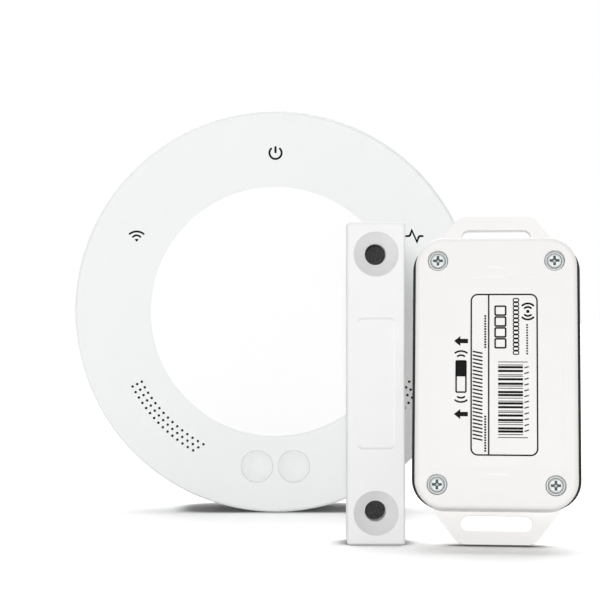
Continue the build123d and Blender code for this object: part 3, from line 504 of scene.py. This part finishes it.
def line(ink, points, width, closed=False):
    """A solid line of ink of even width."""
    rows = []
    for left, right in sections(points, width, closed):
        corners = ((left, ink_top), (right, ink_top), (right, ink_root), (left, ink_root))
        rows.append([ink.verts.new((point.x, point.y, height)) for point, height in corners])
    pairs = list(zip(rows, rows[1:]))
    if closed:
        pairs.append((rows[-1], rows[0]))
    for one, other in pairs:
        for k in range(4):
            ink.faces.new((one[k], one[k - 1], other[k - 1], other[k]))
    if not closed:
        ink.faces.new(rows[0])
        ink.faces.new(rows[-1][::-1])


def print_marks(name, face, draw):
    """Draws marks on a face and makes them one piece that rides with the hub and the sensor."""
    ink = bmesh.new()
    draw(ink)
    piece = solid_piece(name, ink, face, "sign_ink")
    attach(piece, "hub_and_sensor")


# Signs on the hub's ring: power, signal and pulse

signal_width = 0.58
signal_foot = (0, -1.72)
pulse_rise = [(-2.45, 0), (-1.7, 0), (-1.42, 0.1), (-1.25, 0.38), (-0.76, 1.72)]


def power_sign(ink):
    """A ring open at the top, with a stroke in the gap."""
    line(ink, arc((0, 0.2), 1.82, 136, 404, 40), 0.6)
    line(ink, [(0, 0.4), (0, 1.9)], 0.66)


def signal_sign(ink):
    """Two arcs over a rounded wedge."""
    line(ink, arc_about((0, -1.93), 3.31, 90, 38.7), signal_width)
    line(ink, arc_about((0, -1.3), 1.53, 90, 46), signal_width)
    filled(ink, [signal_foot, *arc_about(signal_foot, 0.9, 90, 41, 8)])


def pulse_sign(ink):
    """A level line with one tall beat and one deep one."""
    line(ink, [*pulse_rise, *((-x, -y) for x, y in reversed(pulse_rise))], 0.62)


for sign, draw in (("power", power_sign), ("signal", signal_sign), ("pulse", pulse_sign)):
    print_marks(f"{sign}_sign", sign_faces[sign], draw)


# Print on the sensor's label: a framed form with blank fields and a bar strip, and a magnet sign

frame_low = (-6.23, -20.93)
frame_high = (10.26, 19.65)
frame_corner = 1.65
rule_width = 0.38
divider_x = -1.85
title_field = ((-5.7, -17.2), (-3.55, 5.7))
title_step = 0.95
title_slant = 0.45
code_field = ((-0.25, 5.8), (2.4, 16.9))
code_cells = 4
number_field = ((4.3, 4.3), (5.65, 18.7))
number_cells = 14

# Dotted rules: where across the form, from where to where along it, and the dots' radius
dot_rules = ((-2.72, -19.9, -11.2, 0.27), (-2.72, 6.2, 14.3, 0.27), (7.75, 4.6, 12.3, 0.25))
dot_pitch = 0.66
dot_steps = 12

strip_low = (0.49, -16.63)
strip_high = (6.68, 2.94)
guard_reach = 1.2
bar_module = 0.19
tick_count = 12
tick_step = 1.45
tick_ends = ((7.15, 0), (8.0, 0.25))

field_centre = (7.95, 15.3)
field_radii = (1.15, 2.05)

arrow = (
    (-10.55, 0), (-8.95, -1.27), (-8.95, -0.56), (-7.03, -0.56),
    (-7.03, 0.56), (-8.95, 0.56), (-8.95, 1.27),
)
arrow_rows = (7.75, -10.73)
bar_sign = ((-10.0, -5.2), (-7.55, 2.7))
bar_field_radii = (1.45, 2.5)


def label_frame(ink):
    """The form's outline and its divider."""
    line(ink, rounded_box(frame_low, frame_high, frame_corner), rule_width, closed=True)
    line(ink, [(divider_x, frame_low[1]), (divider_x, frame_high[1])], rule_width)


def cell_row(ink, field, count, gap, width):
    """A row of empty boxes to write in, one above the other."""
    (left, low), (right, high) = field
    step = (high - low) / count
    for cell in range(count):
        box_low = (left, low + cell * step + gap / 2)
        box_high = (right, low + (cell + 1) * step - gap / 2)
        line(ink, rounded_box(box_low, box_high, 0.25, 3), width, closed=True)


def label_fields(ink):
    """Blank fields: a hatched title strip, two rows of boxes and dotted rules."""
    (left, low), (right, high) = title_field
    for stroke in range(int((high - low) / title_step)):
        y = low + stroke * title_step
        line(ink, [(right, y), (left, y + title_slant)], rule_width)
    cell_row(ink, code_field, code_cells, 0.5, 0.42)
    cell_row(ink, number_field, number_cells, 0.22, 0.27)
    for x, start, end, radius in dot_rules:
        for number in range(int((end - start) / dot_pitch) + 1):
            dot(ink, (x, start + number * dot_pitch), radius, dot_steps)


def bar_strip(ink):
    """Bars of mixed widths between longer guard bars, with short ticks beside them."""
    left, start = strip_low
    right, end = strip_high
    at = start
    count = 0
    while at < end - 2 * bar_module:
        width = bar_module * (1 + (3 * count * count + count) % 4 % 3)
        guards = at < start + 4 * bar_module or at > end - 5 * bar_module
        tip = right + guard_reach if guards else right
        filled(ink, [(left, at), (tip, at), (tip, at + width), (left, at + width)])
        at += width + bar_module * (1 + (5 * count + 2) % 3)
        count += 1
    for tick in range(tick_count):
        y = start + 1.7 + tick * tick_step
        line(ink, [(x, y + rise) for x, rise in tick_ends], 0.3)


def field_sign(ink):
    """A dot between pairs of arcs, for the radio link."""
    dot(ink, field_centre, 0.42, 24)
    for radius in field_radii:
        for middle in (90, 270):
            line(ink, arc_about(field_centre, radius, middle, 42, 12), 0.48)


def magnet_sign(ink):
    """Two arrows that point to the magnet, with a bar magnet and its field between them."""
    for y in arrow_rows:
        filled(ink, [(x, y + rise) for x, rise in arrow])
    (left, low), (right, high) = bar_sign
    middle_x = (left + right) / 2
    line(ink, rounded_box((left, low), (right, high), 0.25), 0.4, closed=True)
    filled(ink, rounded_box((left, (low + high) / 2), (right, high), 0.2))
    for y, middle in ((high, 90), (low, 270)):
        for radius in bar_field_radii:
            line(ink, arc_about((middle_x, y), radius, middle, 36, 12), 0.44)


for name, draw in (
    ("label_frame", label_frame),
    ("label_fields", label_fields),
    ("label_bar_strip", bar_strip),
    ("label_field_sign", field_sign),
    ("label_magnet_sign", magnet_sign),
):
    print_marks(name, label_face, draw)


# Grey metal rings that stand in for the shade in the lid screws' sinks: a turned ring round each head, on
# the floor of its sink

# Radius and height of the profile's corners, in millimetres from the head's axis and the label's top
shade_ring_profile = ((1.95, -0.74), (2.3, -0.86), (2.5, -1.0), (2.54, -1.12), (2.54, -1.39), (1.95, -1.39))
shade_ring_steps = 48


def turned_ring(shape, x, y):
    """The ring's profile turned about one screw's axis."""
    rows = []
    for step in range(shade_ring_steps):
        turn = math.tau * step / shade_ring_steps
        rows.append([
            shape.verts.new((x + radius * math.cos(turn), y + radius * math.sin(turn), height))
            for radius, height in shade_ring_profile
        ])
    for i, row in enumerate(rows):
        for k in range(len(row)):
            face = shape.faces.new((rows[i - 1][k - 1], rows[i - 1][k], row[k], row[k - 1]))
            face.smooth = True


def screw_shade_rings():
    """One grey ring round each lid screw's head, standing in for the shade in its sink, all in one piece
    that rides with the sensor.
    """
    rings = bmesh.new()
    for side in (-1, 1):
        for end in (-1, 1):
            turned_ring(rings, side * screw_offsets[0] / MM, end * screw_offsets[1] / MM)
    piece = solid_piece("lid_screw_shade_rings", rings, label_face, "lid_screw_steel")
    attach(piece, "hub_and_sensor")


screw_shade_rings()


# Floor: white where the camera and reflections see it, greyer for the light it sends back to the set

floor_reach = 8.0
floor_white = (1.46, 1.46, 1.46)
floor_greys = ((0.67, 0.67, 0.67), (0.69, 0.69, 0.69))

# Painted contact shadow: close to what stands on it the floor darkens, from clear down to a share of its
# white
contact_reach = 8 * MM
contact_clear = 0.97
contact_dark = 0.45
contact_level = 0.3


def seen_rays(tree):
    """One for rays from the camera and those that metal and glass send on, zero for light on the object."""
    path = add(tree, "ShaderNodeLightPath")
    seen = path.outputs["Is Camera Ray"]
    for kind in ("Is Glossy Ray", "Is Transmission Ray"):
        seen = maths(tree, "MAXIMUM", seen, path.outputs[kind])
    return seen


def make_floor():
    """A wide plain floor that keeps the soft shadow of the set, with a painted contact shadow where the
    camera and reflections see it.
    """
    made, tree, shader = principled("floor_white", Roughness=0.9, Specular_IOR_Level=0.0)
    grain = noise(tree, 3 * MM, detail=2.0)
    tree.links.new(between(tree, grain, *floor_greys), shader.inputs["Base Color"])

    # Painted contact shadow: the floor's white darkened by how closely things hem it in
    near = add(tree, "ShaderNodeAmbientOcclusion", samples=16, Distance=contact_reach)
    contact_shadow_share = ranged(tree, near.outputs["AO"], contact_dark, contact_clear, contact_level, 1)
    pale = add(tree, "ShaderNodeBsdfDiffuse")
    tree.links.new(between(tree, contact_shadow_share, (0, 0, 0), floor_white), pale.inputs["Color"])

    shown = add(tree, "ShaderNodeMixShader")
    out = next(node for node in tree.nodes if node.type == "OUTPUT_MATERIAL")
    tree.links.new(seen_rays(tree), shown.inputs["Fac"])
    tree.links.new(shader.outputs["BSDF"], shown.inputs[1])
    tree.links.new(pale.outputs["BSDF"], shown.inputs[2])
    tree.links.new(shown.outputs["Shader"], out.inputs["Surface"])

    corners = [(-floor_reach, -floor_reach, 0), (floor_reach, -floor_reach, 0)]
    corners += [(floor_reach, floor_reach, 0), (-floor_reach, floor_reach, 0)]
    mesh = bpy.data.meshes.new("floor")
    mesh.from_pydata(corners, [], [(0, 1, 2, 3)])
    mesh.materials.append(made)
    floor = bpy.data.objects.new("floor", mesh)
    bpy.context.scene.collection.objects.link(floor)


make_floor()


# Light: a pale dome, brighter at the sides and the back, and two soft suns. The camera, metal and
# glass see plain white in its place.

dome_level = 0.18
side_level = 3.0
back_level = 1.2
key_from = (-0.08, -1.0, 0.09)
key_power = 1.64
key_softness = 9
top_from = (-0.05, 0.7, 1.0)
top_power = 2.3
top_softness = 78


def make_dome():
    """The world: its light by direction, and plain white where it is seen."""
    world = bpy.data.worlds.new("dome")
    world.use_nodes = True
    tree = world.node_tree
    tree.nodes.clear()
    towards = add(tree, "ShaderNodeSeparateXYZ")
    tree.links.new(add(tree, "ShaderNodeTexCoord").outputs["Generated"], towards.inputs["Vector"])
    aside = maths(tree, "ABSOLUTE", towards.outputs["X"])
    side = ranged(tree, aside, 0.2, 1.0, dome_level, dome_level * side_level)
    back = ranged(tree, towards.outputs["Y"], -0.4, 0.8, 1.0, back_level)
    light = add(tree, "ShaderNodeBackground", Color=(1, 1, 1, 1))
    tree.links.new(maths(tree, "MULTIPLY", side, back), light.inputs["Strength"])
    white = add(tree, "ShaderNodeBackground", Color=(1, 1, 1, 1), Strength=1.0)
    mix = add(tree, "ShaderNodeMixShader")
    out = add(tree, "ShaderNodeOutputWorld")
    tree.links.new(seen_rays(tree), mix.inputs["Fac"])
    tree.links.new(light.outputs["Background"], mix.inputs[1])
    tree.links.new(white.outputs["Background"], mix.inputs[2])
    tree.links.new(mix.outputs["Shader"], out.inputs["Surface"])
    bpy.context.scene.world = world


def make_sun(name, source, power, softness):
    """A soft sun that shines from a direction; its softness is in degrees."""
    lamp = bpy.data.lights.new(name, "SUN")
    lamp.energy = power
    lamp.angle = math.radians(softness)
    sun = bpy.data.objects.new(name, lamp)
    sun.rotation_mode = "QUATERNION"
    sun.rotation_quaternion = Vector(source).to_track_quat("Z", "Y")
    sun.location = Vector(source)
    bpy.context.scene.collection.objects.link(sun)


make_dome()
make_sun("key_sun", key_from, key_power, key_softness)
make_sun("top_sun", top_from, top_power, top_softness)


# Camera: level with the hub's middle, placed so that the hub's circle lands where the photograph has it

photo_side = 600
photo_hub = (275.5, 311.5)
photo_hub_radius = 200.5
camera_distance = 0.524
sensor_width = 36.0


def make_camera():
    """The photograph's viewpoint."""
    data = bpy.data.cameras.new("camera")
    camera = bpy.data.objects.new("camera", data)
    bpy.context.scene.collection.objects.link(camera)
    focal_pixels = photo_hub_radius * camera_distance / hub_radius
    data.sensor_width = sensor_width
    data.lens = focal_pixels * sensor_width / photo_side
    metres_per_pixel = camera_distance / focal_pixels
    aside = (photo_side / 2 - photo_hub[0]) * metres_per_pixel
    above = (photo_hub[1] - photo_side / 2) * metres_per_pixel
    camera.location = hub_centre + Vector((aside, -camera_distance, 0))
    aim = Vector((0, camera_distance, above))
    camera.rotation_mode = "QUATERNION"
    camera.rotation_quaternion = (-aim).to_track_quat("Z", "Y")
    data.clip_start = 0.01
    data.clip_end = 100
    bpy.context.scene.camera = camera


make_camera()
bpy.context.scene.view_settings.view_transform = "Standard"
